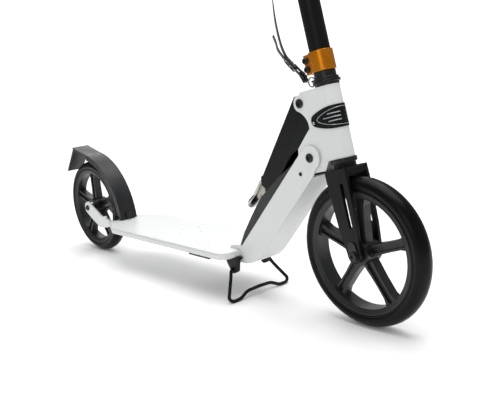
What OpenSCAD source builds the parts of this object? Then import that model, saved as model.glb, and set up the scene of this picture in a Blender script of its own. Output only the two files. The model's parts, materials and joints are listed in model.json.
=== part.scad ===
// Folding kick scooter with big wheels, a bent neck, a folding brace and a centre stand.
// X runs forward, Y to the rider's left and Z up. The origin is on the floor, midway along the length.

/* [Overall] */
// Distance between the two axles
wheelbase = 786; // [700:2:950]
// Angle of the steering axis from the vertical
rake = 11.8; // [8:0.1:16]
// Height of the handlebar's centre above the front axle, along the steering axis
bar_height = 830; // [760:5:960]
// Whole width of the handlebar
bar_width = 460; // [380:5:560]

/* [Front wheel] */
// Radius of the front tyre
front_r = 115; // [95:0.5:140]
// Half the width of the front tyre
front_half = 16; // [12:0.5:18]
// Depth of the front tyre below its tread
front_tyre_depth = 21; // [16:0.5:26]
// Depth of the front rim below the tyre
front_rim_depth = 9; // [7:0.5:12]

/* [Rear wheel] */
// Radius of the rear tyre
rear_r = 102.5; // [85:0.5:125]
// Half the width of the rear tyre
rear_half = 14; // [11:0.5:16]
// Depth of the rear tyre below its tread
rear_tyre_depth = 19; // [15:0.5:24]
// Depth of the rear rim below the tyre
rear_rim_depth = 8; // [6:0.5:11]

/* [Wheel hubs] */
// Radius of a wheel's hub
hub_r = 18; // [15:0.5:22]
// Width of a spoke
spoke_w = 15; // [11:0.5:18]
// Half the depth of a spoke
spoke_half = 8; // [6:0.5:9.5]
// Outer radius of a wheel bearing
bearing_r = 11; // [9:0.5:13]
// Width of a wheel bearing
bearing_w = 7; // [5:0.5:8]
// Radius of both axles
axle_r = 4; // [3:0.25:5]

/* [Deck] */
// Width of the deck
deck_w = 136; // [110:2:170]
// Height of the deck's top above the floor
deck_top = 85; // [78:1:100]
// Thickness of the deck
deck_t = 11; // [9:0.5:14]
// Thickness of the deck's own walls
deck_wall = 3.5; // [2.5:0.25:4.5]
// Distance from the rear axle to the full width of the deck
deck_taper_end = 165; // [140:1:190]

/* [Neck] */
// Slope of the neck from the horizontal
neck_angle = 47; // [40:0.5:54]
// How much steeper the neck's front face is than its rear edges
neck_flare = 0.75; // [0:0.25:2]
// Distance from the fold pin to the neck's front face
neck_front = 22; // [20:0.5:26]
// Distance from the fold pin to the neck's rear edges
neck_rear = 19; // [16:0.5:22]
// Whole width of the neck
neck_w = 54; // [50:1:64]
// Wall of the neck
neck_wall = 2.5; // [2:0.25:3.5]
// Outer radius of the bend between neck and deck
neck_bend_r = 70; // [56:1:80]
// How far the neck's belly hangs below the deck
neck_drop = 12; // [8:0.5:18]
// Wall of the liner inside the neck
liner_wall = 2; // [1.5:0.25:2.5]

/* [Head] */
// Height of the head tube's lower end above the front axle
head_low = 143.6; // [138:0.2:160]
// Length of the head tube
head_len = 109; // [95:1:130]
// Outer radius of the head tube
head_tube_r = 15.5; // [14.5:0.25:17]
// Thickness of the head bracket's plate
bracket_t = 2.5; // [2:0.25:3.5]
// Distance of the fold pin behind the steering axis
fold_back = 42; // [40:0.5:48]
// Height of the fold pin above the front axle
fold_up = 154; // [150:0.5:170]
// Distance of the brace pin behind the steering axis
brace_back = 41; // [38:0.5:48]
// Distance of the brace pin below the head tube's upper end
brace_down = 16; // [12:0.5:24]
// Radius of the fold pin and the brace pin
pin_r = 4; // [3:0.25:5]

/* [Brace and lever] */
// Slope of the brace from the horizontal
brace_angle = 55.5; // [52:0.5:60]
// Length of the brace below its pin
brace_len = 172; // [150:1:180]
// Half the depth of the brace at its pin
brace_half = 18; // [14:0.5:19]
// How far the brace reaches forward of its pin
brace_front = 30; // [20:0.5:32]
// Half the width of the brace
brace_y = 18; // [14:0.5:18.5]
// Wall of the brace
brace_wall = 2; // [1.5:0.25:3]

/* [Fork] */
// Half the gap between the fork's legs
fork_gap = 20; // [18:0.5:24]
// Thickness of a fork leg
leg_t = 5.5; // [4.5:0.25:7]
// Width of a fork leg at the crown
leg_w = 40; // [32:0.5:46]
// Distance of the front axle ahead of the steering axis
fork_offset = 2.7; // [0:0.1:8]
// Outer radius of the steerer tube
steerer_r = 12.7; // [11.5:0.1:13.5]

/* [Column and handlebar] */
// Wall of the steering column
column_wall = 3.1; // [2.5:0.1:4]
// Height of the column's top above the front axle
column_top = 565; // [520:5:640]
// Wall of the two clamps
clamp_wall = 2.8; // [2.2:0.1:4]
// Height of the lower clamp
clamp_h = 30; // [26:1:36]
// Radius of the handlebar tube
bar_r = 11.1; // [10:0.1:12.7]
// Wall of the handlebar tube
bar_wall = 1.8; // [1.4:0.1:2.6]
// Length of a grip
grip_len = 118; // [95:1:140]
// Outer radius of a grip
grip_r = 16; // [14:0.25:18]

/* [Rear brake] */
// Radius of the fender's curve
fender_r = 150; // [140:1:162]
// Half the width of the fender
fender_half = 20; // [19.5:0.5:23]
// Thickness of the fender
fender_t = 3; // [2:0.25:4]
// Length of the fender's tail
tail_len = 50; // [40:1:60]
// Length of the mud flap
flap_len = 66; // [50:1:74]

/* [Stand] */
// Radius of the stand's rod
rod_r = 3; // [2.5:0.25:4]
// Half the distance between the stand's feet
foot_y = 70; // [56:1:80]
// Half the distance between the stand's pivots
stand_y = 36; // [33:1:42]

/* [Hidden] */
$fn = 64;
// radial clearance of a running fit
run = 0.06;
// clearance beside pieces that slide past each other
gap = 0.5;
eps = 0.01;
FAR = 400;

WHITE = "#e9ebec";
BLACK = "#1b1c1e";
ORANGE = "#c97a12";
STEEL = "#b9bcc0";
IVORY = "#cfcfc6";
RUBBER = "#141415";

rear_x = -(wheelbase + front_r - rear_r) / 2;
front_x = rear_x + wheelbase;

// a point of the steering plane, given ahead of and along the steering axis, as [x, z]
function steer_point(s, h) = [
    front_x + (s - fork_offset) * cos(rake) - h * sin(rake),
    front_r + (s - fork_offset) * sin(rake) + h * cos(rake)
];

head_top = head_low + head_len;
fold = steer_point(-fold_back, fold_up);
brace_h = head_top - brace_down;
brace_pin_at = steer_point(-brace_back, brace_h);

neck_half = neck_w / 2;
neck_inner = neck_half - neck_wall;
bracket_half = neck_inner - gap;
bracket_inner = bracket_half - bracket_t;
shell_r = head_tube_r + bracket_t;
bracket_low = fold_up - 24;

// unit vectors up the neck and out of its front face
neck_up = [cos(neck_angle), sin(neck_angle)];
neck_out = [sin(neck_angle), -cos(neck_angle)];
// the same for the flared front face
face_up = [cos(neck_angle + neck_flare), sin(neck_angle + neck_flare)];
face_out = [face_up.y, -face_up.x];
deck_bottom = deck_top - deck_t;
neck_bottom = deck_bottom - neck_drop;
// centre of the bend, tangent to the neck's front face and to its belly
bend_z = neck_bottom + neck_bend_r;
bend_x = fold.x + (neck_front - neck_bend_r - (bend_z - fold.y) * face_out.y) / face_out.x;
belly_x = bend_x - 15;
rear_line = fold - neck_rear * neck_out;
neck_foot_x = rear_line.x - (rear_line.y - deck_top) / tan(neck_angle);
deck_front = neck_foot_x + 3;

brace_dir = [-cos(brace_angle), -sin(brace_angle)];
brace_back_dir = [-sin(brace_angle), cos(brace_angle)];
function on_brace(along, back) = brace_pin_at + along * brace_dir + back * brace_back_dir;
lever_pin_at = on_brace(brace_len - 4, 21);
lever_pin_r = 2.5;
keeper_r = 3;
keeper_at = lever_pin_at + [4, -37];

column_in = steerer_r + run;
column_r = column_in + column_wall;
collar_low = head_top + 12;
clamp_low = collar_low + 10;
clamp_r = column_r + clamp_wall;
height_clamp_h = 26;
height_clamp_low = column_top - height_clamp_h + 6;
ear_out = 16;

leg_out = fork_gap + leg_t;
crown_low = front_r + 4;
crown_top = head_low - 14;

dropout_out = 28;
dropout_t = 4;
axle_head_r = 6;

fender_c = [rear_x - 24, rear_r - 27.5];
fender_start = asin((deck_top + 1.5 - fender_c.y) / fender_r);
fender_end = 82;
fender_hinge = [rear_x + rear_r + 13, deck_top + 8];
tail_at = fender_c + fender_r * [cos(fender_end), sin(fender_end)];
tail_slope = 15;
tail_end = tail_at + tail_len * [-cos(tail_slope), sin(tail_slope)];
flap_slope = 53;

stand_at = [belly_x + 1, 52];
foot_at = [stand_at.x + 18, rod_r];

// ---------- frames and shared shapes ----------

// children are drawn with Z up the steering axis and the front axle's height as zero
module steering() {
    translate([front_x, 0, front_r])
        rotate([0, -rake, 0])
            translate([-fork_offset, 0, 0])
                children();
}

// a side view, drawn in X and Z, made solid between two widths
module side(y0, y1) {
    translate([0, y1, 0])
        rotate([90, 0, 0])
            linear_extrude(y1 - y0)
                children();
}

// the same, on both sides of the middle
module sides(y0, y1) {
    side(y0, y1) children();
    side(-y1, -y0) children();
}

// a side view of the head, drawn ahead of and along the steering axis
module steering_side(y0, y1) {
    steering() side(y0, y1) children();
}

// a cylinder across the scooter
module cross(at, r, y0, y1) {
    translate([at.x, y0, at.y])
        rotate([-90, 0, 0])
            cylinder(r = r, h = y1 - y0);
}

// a tube across the scooter
module cross_tube(at, r, hole, y0, y1) {
    difference() {
        cross(at, r, y0, y1);
        cross(at, hole, y0 - 1, y1 + 1);
    }
}

// a tube along the steering axis
module axis_tube(r, hole, h0, h1) {
    translate([0, 0, h0])
        difference() {
            cylinder(r = r, h = h1 - h0);
            translate([0, 0, -1])
                cylinder(r = hole, h = h1 - h0 + 2);
        }
}

// a low button head with a socket, whose flat face lies at y
module button_head(at, r, h, y, dir) {
    socket = r * 0.45;
    translate([at.x, y, at.y])
        rotate([-90 * dir, 0, 0])
            difference() {
                union() {
                    cylinder(r = r, h = h * 0.6);
                    translate([0, 0, h * 0.6])
                        cylinder(r1 = r, r2 = r * 0.78, h = h * 0.4);
                }
                translate([0, 0, h * 0.4])
                    cylinder(r = socket, h = h, $fn = 6);
            }
}

// ---------- deck ----------

deck_notch = rear_r + 4;
arm_half = dropout_out - dropout_t;

module deck_outline(inset) {
    w = deck_w / 2 - inset;
    r = 18;
    front = deck_front - inset;
    full = rear_x + deck_taper_end;
    back = rear_x + rear_r - 18 + inset;
    difference() {
        union() {
            polygon([
                [back, -dropout_out + inset], [full, -w], [front - r, -w], [front, -w + r],
                [front, w - r], [front - r, w], [full, w], [back, dropout_out - inset]
            ]);
            for (side = [-1, 1])
                translate([front - r, side * (w - r)])
                    circle(r = r);
        }
        translate([rear_x, -arm_half - inset])
            square([deck_notch + inset, 2 * (arm_half + inset)]);
        translate([belly_x - inset, -neck_half - inset - 0.1])
            square([FAR, neck_w + 2 * inset + 0.2]);
    }
}

module deck() {
    color(WHITE)
        difference() {
            union() {
                translate([0, 0, deck_bottom])
                    linear_extrude(deck_t)
                        deck_outline(2);
                translate([0, 0, deck_bottom + 2])
                    linear_extrude(deck_t - 4)
                        deck_outline(0);
                translate([0, 0, deck_bottom + 0.7])
                    linear_extrude(deck_t - 1.4)
                        deck_outline(0.7);
            }
            // lengthwise channels in the underside
            for (k = [-1, 0, 1])
                translate([rear_x + deck_taper_end, (k - 0.5) * deck_w / 3 + deck_wall, deck_bottom - 1])
                    cube([belly_x - 70 - rear_x - deck_taper_end, deck_w / 3 - 2 * deck_wall,
                          deck_t - deck_wall + 1]);
        }
}

module dropout(side) {
    y0 = side > 0 ? arm_half : -dropout_out;
    color(WHITE)
        difference() {
            side(y0, y0 + dropout_t)
                difference() {
                    union() {
                        translate([rear_x, rear_r])
                            circle(r = 13.5);
                        polygon([
                            [rear_x - 7, rear_r - 11.5], [rear_x + 16, deck_top - 8],
                            [rear_x + 44, deck_bottom - 11], [rear_x + 70, deck_bottom - 9],
                            [rear_x + deck_notch, deck_bottom], [rear_x + deck_notch, deck_top],
                            [rear_x + 78, deck_top], [rear_x + 52, deck_top + 5],
                            [rear_x + 30, deck_top + 17], [rear_x + 9, rear_r + 10]
                        ]);
                        translate([rear_x + 70, deck_top + 1])
                            circle(r = 5);
                    }
                    // the deck's tapered flank passes outside this line
                    translate([rear_x + rear_r - 18, deck_bottom - 0.1])
                        square([FAR, deck_t + 0.1]);
                }
            cross([rear_x, rear_r], axle_r, -FAR, FAR);
        }
}

module dropout_left() {
    dropout(1);
}

module dropout_right() {
    dropout(-1);
}

// ---------- neck ----------

// the channel seen from the side, drawn inwards by an inset, with its bend rounded
module neck_view(inset, open_rear) {
    centre = [bend_x, bend_z];
    r = neck_bend_r - inset;
    low = neck_bottom + inset;
    corner_x = fold.x + (neck_front - inset - (low - fold.y) * face_out.y) / face_out.x;
    front = fold + (neck_front - inset) * face_out - 20 * face_up;
    foot = [[belly_x + inset, low], [belly_x + inset, deck_top - inset], [neck_foot_x, deck_top - inset]];
    rear = open_rear
        ? [[neck_foot_x, fold.y + 90], fold + 90 * neck_out + 90 * neck_up, fold + 90 * neck_out - 20 * neck_up]
        : [rear_line - 20 * neck_up];
    difference() {
        polygon(concat([front, [corner_x, low]], foot, rear));
        difference() {
            polygon([centre, centre + (r + 30) * face_out, [corner_x + 30, low - 30], centre - [0, r + 30]]);
            translate(centre)
                circle(r = r, $fn = 128);
        }
    }
}

module neck() {
    color(WHITE)
        difference() {
            union() {
                side(-neck_half, neck_half) neck_view(0, false);
                // the round ends of the two walls, about the fold pin
                cross(fold, neck_rear, -neck_half, neck_half);
                side(-neck_half, neck_half)
                    polygon([
                        fold + neck_front * face_out - 24 * face_up,
                        fold + neck_front * face_out - 20 * face_up,
                        fold + (neck_rear - 0.4) * neck_out - 4 * neck_up, fold,
                        fold - (neck_rear - 0.01) * neck_out, rear_line - 24 * neck_up
                    ]);
                // low tails of the two walls, welded down on the deck
                sides(neck_inner, neck_half)
                    polygon([
                        [neck_foot_x - 27, deck_top], [neck_foot_x - 21, deck_top + 4],
                        [neck_foot_x - 12, deck_top + 6.5], [neck_foot_x - 2, deck_top + 7.5],
                        [neck_foot_x + 8, deck_top + 7.5], [neck_foot_x + 8, deck_top]
                    ]);
            }
            side(-neck_inner, neck_inner)
                neck_view(neck_wall, true);
            cross(fold, pin_r, -FAR, FAR);
            side(-FAR, FAR)
                translate(liner_screw_at)
                    circle(r = 1.8);
        }
}

liner_screw_at = fold - 34 * neck_up + 2 * neck_out;

module liner_view(inset) {
    f = fold + (neck_front - neck_wall - gap - inset) * face_out - 30 * face_up;
    t = [bend_x, bend_z] + (neck_bend_r - neck_wall - gap - inset) * face_out;
    low = deck_top + 2;
    polygon([
        [neck_foot_x - 3, deck_top + 1], [neck_foot_x + 14, deck_top + 32],
        [neck_foot_x + 37, deck_top + 64], [neck_foot_x + 63, deck_top + 97],
        rear_line - 78 * neck_up - 12 * neck_out, rear_line - 40 * neck_up - 3 * neck_out,
        rear_line - 31 * neck_up, f, t,
        [bend_x + 24, low]
    ]);
}

module neck_liner() {
    y = neck_inner - 0.2;
    color(BLACK)
        difference() {
            side(-y, y) liner_view(0);
            side(-y + liner_wall, y - liner_wall)
                polygon([
                    [neck_foot_x - 30, deck_top], [neck_foot_x - 30, deck_top + FAR],
                    rear_line + 40 * neck_up,
                    fold + (neck_front - neck_wall - gap - liner_wall) * face_out,
                    [bend_x, bend_z] + (neck_bend_r - neck_wall - gap - liner_wall) * face_out,
                    [bend_x + 20, deck_top]
                ]);
            cross(keeper_at, keeper_r, -FAR, FAR);
            sides(0, neck_half)
                translate(liner_screw_at)
                    circle(r = 1.8);
        }
}

module fold_pin() {
    color(STEEL)
        cross(fold, pin_r, -neck_half, neck_half);
}

module fold_pin_caps() {
    color(BLACK) {
        button_head(fold, 7, 3, neck_half, 1);
        button_head(fold, 7, 3, -neck_half, -1);
    }
}

module liner_screws() {
    color(BLACK)
        for (dir = [-1, 1]) {
            button_head(liner_screw_at, 3, 1.6, dir * neck_half, dir);
            y = neck_inner - 0.2 - liner_wall;
            cross(liner_screw_at, 1.8, dir > 0 ? y : -neck_half, dir > 0 ? neck_half : -y);
        }
}

module keeper_pin() {
    color(STEEL)
        cross(keeper_at, keeper_r, -neck_inner + 0.2, neck_inner - 0.2);
}

// ---------- rear axle, brake and stand mountings ----------

module rear_axle() {
    at = [rear_x, rear_r];
    color(BLACK) {
        cross(at, axle_r - run, -dropout_out, dropout_out);
        button_head(at, axle_head_r, 4, dropout_out, 1);
        button_head(at, axle_head_r, 4, -dropout_out, -1);
    }
}

module rear_axle_spacers() {
    at = [rear_x, rear_r];
    color(STEEL) {
        cross_tube(at, 7, axle_r, hub_half_rear + gap, arm_half);
        cross_tube(at, 7, axle_r, -arm_half, -hub_half_rear - gap);
    }
}

lug_in = 11;
lug_out = 15;

module fender_hinge_lugs() {
    color(BLACK)
        sides(lug_in, lug_out)
            difference() {
                union() {
                    translate(fender_hinge)
                        circle(r = 5.5);
                    translate([fender_hinge.x - 5.5, deck_top])
                        square([11, fender_hinge.y - deck_top]);
                }
                translate(fender_hinge)
                    circle(r = 2.5);
            }
}

module fender_pin() {
    color(STEEL) {
        cross(fender_hinge, 2.5, -lug_out, lug_out);
        cross(fender_hinge, 4, lug_out, lug_out + 1.5);
        cross(fender_hinge, 4, -lug_out - 1.5, -lug_out);
    }
}

module fender_spring() {
    color(STEEL)
        for (k = [0:2])
            cross_tube(fender_hinge, 4.4, 3, 6.6 + k * 1.3, 7.7 + k * 1.3);
}

plate_x = belly_x - 62;

module stand_plate() {
    color(BLACK)
        translate([plate_x - 32, 0, deck_bottom - 4])
            linear_extrude(4)
                difference() {
                    union() {
                        translate([0, -deck_w / 2 + 4])
                            square([60, deck_w - 8]);
                        for (side = [-1, 1])
                            translate([60, side * stand_y - 7])
                                square([32 + 18, 14]);
                    }
                    for (side = [-1, 1])
                        translate([12, side * 40])
                            circle(r = 2.6);
                }
}

lug_half = 5;

module stand_lugs() {
    color(BLACK)
        for (side = [-1, 1])
            difference() {
                side(side * stand_y - lug_half, side * stand_y + lug_half)
                    union() {
                        translate(stand_at)
                            circle(r = 8);
                        polygon([
                            [stand_at.x - 18, deck_bottom - 4], [stand_at.x - 14, stand_at.y + 8],
                            [stand_at.x - 8, stand_at.y], [stand_at.x + 8, stand_at.y],
                            [stand_at.x + 12, deck_bottom - 4]
                        ]);
                    }
                cross(stand_at, rod_r + run, -FAR, FAR);
            }
}

module stand_bolts() {
    color(STEEL)
        for (side = [-1, 1])
            translate([plate_x - 20, side * 40, deck_bottom - 7])
                cylinder(r = 4.5, h = 3);
}

// a round bar between two points, with a ball at each end a touch wider than the bar
module stand_rod(a, b, r) {
    d = b - a;
    l = norm(d);
    translate(a) {
        sphere(r = r + 0.15);
        rotate([0, acos(d.z / l), atan2(d.y, d.x)])
            cylinder(r = r, h = l);
    }
}

module kickstand() {
    x0 = stand_at.x;
    x1 = foot_at.x;
    z0 = stand_at.y;
    // from the left pivot, down to the left foot and along to the middle of the cross bar
    half = [
        [x0, stand_y - lug_half - 1, z0], [x0, stand_y + lug_half + 4, z0],
        [x0 + 3, stand_y + lug_half + 8, z0 - 10], [x1, foot_y, rod_r + 6],
        [x1 + 2, foot_y - 6, rod_r], [x1 + 2, foot_y - 24, rod_r],
        [x1, foot_y - 42, rod_r + 9], [x1, 0, rod_r + 10]
    ];
    color(BLACK)
        for (side = [-1, 1])
            mirror([0, side < 0 ? 1 : 0, 0])
                for (k = [0:len(half) - 2])
                    stand_rod(half[k], half[k + 1], rod_r, $fn = 20);
}

// ---------- head ----------

ear_r = 13;
hollow_at = [-brace_back - 19.5, brace_h - 35.6];
hollow_r = norm([19.5, 35.6]) - ear_r + 0.2;
// the bracket's shelf, from under the hollow back to the heel above the fold pin
shelf = [-fold_back + 8.6, fold_up + 42];
heel = [-fold_back - 23, fold_up + 16.9];
shelf_dir = (shelf - heel) / norm(shelf - heel);

module bracket_view() {
    steering_side(-bracket_half - 1, bracket_half + 1) {
        difference() {
            union() {
                polygon([
                    [FAR, head_low], [FAR, head_top], [-brace_back + 4, head_top],
                    [-brace_back, brace_h], [-brace_back - 6.2, brace_h - 11.4],
                    [-fold_back - 8, fold_up + 28.8], heel, [-fold_back - 26.5, fold_up + 4],
                    [-fold_back - 25, fold_up - 7], [-fold_back - 8, bracket_low],
                    [-20, bracket_low], [-12, head_low]
                ]);
                translate([-brace_back, brace_h])
                    circle(r = ear_r);
            }
            // the hollow behind the bracket, between the two pins
            intersection() {
                translate(hollow_at)
                    circle(r = hollow_r);
                polygon([
                    heel - 30 * shelf_dir, shelf + 30 * shelf_dir,
                    shelf + 30 * shelf_dir + [0, 90], heel - 30 * shelf_dir + [0, 90]
                ]);
            }
        }
    }
}

// the bracket seen along the steering axis, grown by inset
module bracket_plan(inset) {
    r = shell_r - inset;
    y = bracket_half - inset;
    circle(r = r);
    polygon([[r * 0.15, r * 0.988], [-38, y], [-FAR, y], [-FAR, -y], [-38, -y], [r * 0.15, -r * 0.988]]);
}

module head_bracket() {
    color(WHITE)
        difference() {
            intersection() {
                steering()
                    translate([0, 0, bracket_low - 20])
                        linear_extrude(head_len + 80)
                            difference() {
                                bracket_plan(0);
                                bracket_plan(bracket_t);
                            }
                bracket_view();
            }
            cross(fold, pin_r + run, -FAR, FAR);
            cross(brace_pin_at, pin_r, -FAR, FAR);
            // one rivet hole in each flank, for the badge
            steering()
                for (side = [-1, 1])
                    badge_rivet_place(side)
                        translate([0, 0, -3])
                            cylinder(r = 1.2, h = 6);
        }
}

module head_tube() {
    color(WHITE)
        steering()
            axis_tube(head_tube_r, head_tube_r - 2, head_low, head_top);
}

cup_skirt = 8;

module upper_cup() {
    color(BLACK)
        steering() {
            axis_tube(head_tube_r - 2, steerer_r + 0.3, head_top - cup_skirt, head_top);
            axis_tube(shell_r + 0.5, steerer_r + 0.3, head_top - eps, head_top + 4);
            axis_tube(shell_r + 3, bearing_seat, head_top + 4 - eps, head_top + 8);
        }
}

module lower_cup() {
    color(BLACK)
        steering() {
            axis_tube(head_tube_r - 2, steerer_r + 0.3, head_low, head_low + cup_skirt);
            axis_tube(shell_r + 2, steerer_r + 0.3, head_low - 2, head_low + eps);
            axis_tube(shell_r + 2, bearing_seat, head_low - 7, head_low - 2 + eps);
        }
}

bearing_seat = steerer_r + 3;

module head_bearings() {
    color(STEEL)
        steering() {
            axis_tube(bearing_seat, steerer_r + run, head_top + 4, head_top + 8);
            axis_tube(bearing_seat, steerer_r + run, head_low - 7, head_low - 2);
        }
}

badge_h = head_low + 62;
badge_reach = 27;
badge_rise = 17;
badge_t = 1.2;
badge_ahead = 18;
// the round rear end of the badge, and the flat arcs that run on from it
badge_end = -16;
badge_end_r = 10;
badge_r = 96;

module badge_rivet_place(side) {
    // the flank leans outward behind the steering axis
    lean = atan((bracket_half - shell_r * 0.988) / (38 + shell_r * 0.15));
    back = badge_reach - 4;
    y = shell_r * 0.988 + (back + shell_r * 0.15) * tan(lean);
    translate([-back, side * y, badge_h - 3])
        rotate([-side * 90, 0, side * -lean])
            children();
}

// an oval plate that follows the bracket's round front
module badge() {
    color(BLACK)
        difference() {
            intersection() {
                steering()
                    translate([0, 0, badge_h - 40])
                        linear_extrude(80)
                            difference() {
                                bracket_plan(-badge_t);
                                bracket_plan(0);
                            }
                steering_side(-FAR / 4, FAR / 4)
                    translate([badge_ahead, badge_h]) {
                        translate([badge_end - badge_ahead, 0])
                            circle(r = badge_end_r);
                        intersection() {
                            translate([0, badge_rise - badge_r])
                                circle(r = badge_r);
                            translate([0, badge_r - badge_rise])
                                circle(r = badge_r);
                            translate([badge_end - badge_ahead - 3.95, -40])
                                square([FAR, 80]);
                        }
                    }
            }
            steering()
                for (side = [-1, 1])
                    badge_rivet_place(side)
                        translate([0, 0, -3])
                            cylinder(r = 1.2, h = 6);
        }
}

module badge_rivets() {
    color(STEEL)
        steering()
            for (side = [-1, 1])
                badge_rivet_place(side) {
                    translate([0, 0, -2])
                        cylinder(r = 1.2, h = 2 + badge_t);
                    translate([0, 0, badge_t])
                        cylinder(r1 = 2.2, r2 = 1.4, h = 0.9);
                }
}

module brace_pin() {
    color(STEEL)
        cross(brace_pin_at, pin_r, -bracket_half, bracket_half);
}

module brace_pin_caps() {
    color(BLACK) {
        button_head(brace_pin_at, 7, 3, bracket_half, 1);
        button_head(brace_pin_at, 7, 3, -bracket_half, -1);
    }
}

// ---------- brace and release lever ----------

module brace_view() {
    ear = brace_half + 1.5;
    low = brace_half * 0.62;
    end = brace_len;
    polygon([
        on_brace(-1, ear - 8), on_brace(3, ear), on_brace(end - 6, brace_half), on_brace(end, brace_half - 6),
        on_brace(end, -low * 0.1), on_brace(end - 12, -low), on_brace(112, -brace_half + 1),
        on_brace(88, -brace_half + 1), on_brace(50, -brace_front), on_brace(3, -brace_front), on_brace(-7, -9)
    ]);
    translate(brace_pin_at)
        circle(r = ear_r - 1);
    translate(on_brace(3, ear - 4))
        circle(r = 4);
}

// children are drawn with X down the brace and Z forward of it
module brace_frame() {
    translate([brace_pin_at.x, 0, brace_pin_at.y])
        rotate([0, 180 - brace_angle, 0])
            children();
}

facet_view = [on_brace(27, -9), on_brace(27, -31), on_brace(75, -27), on_brace(106, -9)];
facet_depth = 3;

module brace() {
    side_y = brace_y - brace_wall;
    color(BLACK)
        difference() {
            union() {
                difference() {
                    union() {
                        side(-brace_y, brace_y) brace_view();
                        side(-9, 9)
                            translate(lever_pin_at)
                                circle(r = 6);
                    }
                    // a channel, open towards the neck
                    side(-side_y, side_y)
                        difference() {
                            translate(-4 * brace_back_dir)
                                brace_view();
                            polygon([on_brace(brace_len - 16, -40), on_brace(brace_len - 16, 40),
                                     on_brace(brace_len + 20, 40), on_brace(brace_len + 20, -40)]);
                        }
                }
                // thicker walls behind the facets
                sides(side_y - facet_depth, side_y + 0.5)
                    polygon([on_brace(22, -6), on_brace(22, -brace_front + 0.5),
                             on_brace(49, -brace_front + 0.5), on_brace(87, -brace_half + 1.5),
                             on_brace(108, -brace_half + 1.5), on_brace(110, -6)]);
            }
            // a facet along each flank, turned a little forward
            for (side = [0, 1])
                mirror([0, side, 0])
                    intersection() {
                        side(0, brace_y + 1) polygon(facet_view);
                        brace_frame()
                            rotate([90, 0, 90])
                                linear_extrude(130)
                                    polygon([
                                        [brace_y, 10], [brace_y - facet_depth, 31],
                                        [brace_y + 2, 31], [brace_y + 2, 10]
                                    ]);
                    }
            cross(brace_pin_at, pin_r + run, -FAR, FAR);
            cross(lever_pin_at, lever_pin_r, -FAR, FAR);
            // room for the lever between the two eyes
            side(-5.5, 5.5) {
                translate(lever_pin_at)
                    circle(r = 9);
                polygon([lever_pin_at + [0, 9], lever_pin_at + [-40, 9], lever_pin_at + [-40, -50],
                         lever_pin_at + [8, -50]]);
            }
        }
}

module lever_pin() {
    color(BLACK) {
        cross(lever_pin_at, lever_pin_r, -9, 9);
        cross(lever_pin_at, 2.9, 9, 10.5);
        cross(lever_pin_at, 2.9, -10.5, -9);
    }
}

module lever_spring() {
    color(STEEL)
        for (k = [0:1])
            cross_tube(lever_pin_at, 5.6, 4.4, 3.2 + k * 1.1, 4.1 + k * 1.1);
}

lever_dir = [-0.588, -0.809];
lever_side = [-lever_dir.y, lever_dir.x];
function on_lever(along, out) = lever_pin_at + along * lever_dir - out * lever_side;
lever_end = on_lever(40, 1);

module release_lever() {
    color(IVORY)
        difference() {
            union() {
                side(-3, 3) {
                    translate(lever_pin_at)
                        circle(r = 5.5);
                    polygon([on_lever(0, 5), on_lever(44, 5), on_lever(44, -3), on_lever(30, -5),
                             on_lever(24, -9), on_lever(0, -5)]);
                    // the nose that meets the keeper pin
                    polygon([on_lever(22, -4), on_lever(22, -12), on_lever(27, -14),
                             on_lever(33, -5)]);
                }
                side(-8, 8)
                    polygon([on_lever(9, 7), on_lever(44, 7), on_lever(44, 2), on_lever(9, 2)]);
                // two ribs along the tread of the lever
                sides(3.6, 5.6)
                    polygon([on_lever(12, 6.5), on_lever(14, 8.4), on_lever(37, 8.4), on_lever(37, 6.5)]);
            }
            cross(lever_pin_at, lever_pin_r + run, -FAR, FAR);
        }
}

pedal_len = 32;
pedal_half = 13;
pedal_t = 10;

module foot_pedal() {
    root = on_lever(38, -1);
    color(STEEL)
        translate([root.x, 0, root.y])
            rotate([0, -atan(lever_dir.y / lever_dir.x), 0])
                linear_extrude(pedal_t) {
                    translate([-pedal_len + pedal_half, 0])
                        circle(r = pedal_half);
                    translate([-pedal_len + pedal_half, -pedal_half])
                        square([pedal_len - pedal_half, 2 * pedal_half]);
                }
}

// ---------- fork, column and clamps ----------

leg_slot_h = 44;
leg_slot_len = 61;
leg_slot_w = 6.5;

module leg_view() {
    s = fork_offset;
    top = crown_top;
    difference() {
        union() {
            translate([s, 0])
                circle(r = 12.5);
            polygon([
                [s - 12.4, 2], [-15.5, 40], [-leg_w / 2, crown_low - 6], [-leg_w / 2, top],
                [leg_w / 2, top], [leg_w / 2 + 1, crown_low - 8], [leg_w / 2 - 1, 40], [s + 12.4, 2]
            ]);
        }
        translate([s + 2, leg_slot_h])
            square([leg_slot_w, leg_slot_len]);
        for (h = [leg_slot_h, leg_slot_h + leg_slot_len])
            translate([s + 2 + leg_slot_w / 2, h])
                circle(r = leg_slot_w / 2);
    }
}

module fork() {
    color(BLACK)
        steering()
            difference() {
                union() {
                    sides(fork_gap, leg_out) leg_view();
                    // the crown, with its sloping shoulders
                    side(-leg_out, leg_out)
                        polygon([
                            [-leg_w / 2, crown_low], [-leg_w / 2, crown_top - 3],
                            [-leg_w / 2 + 3, crown_top], [leg_w / 2 - 3, crown_top],
                            [leg_w / 2, crown_top - 3], [leg_w / 2, crown_low]
                        ]);
                    translate([0, 0, crown_top])
                        cylinder(r = shell_r - 1, h = head_low - 7.4 - crown_top);
                }
                translate([0, 0, crown_low - 1])
                    cylinder(r = steerer_r, h = 80);
                cross([fork_offset, 0], axle_r, -FAR, FAR);
            }
}

module steerer() {
    color(STEEL)
        steering()
            axis_tube(steerer_r, steerer_r - 2.2, crown_low, clamp_low + clamp_h + 6);
}

module front_axle() {
    color(BLACK)
        steering() {
            cross([fork_offset, 0], axle_r - run, -leg_out - 2, leg_out + 2);
            button_head([fork_offset, 0], axle_head_r + 1, 4, leg_out + 2, 1);
            button_head([fork_offset, 0], axle_head_r + 1, 4, -leg_out - 2, -1);
        }
}

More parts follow.
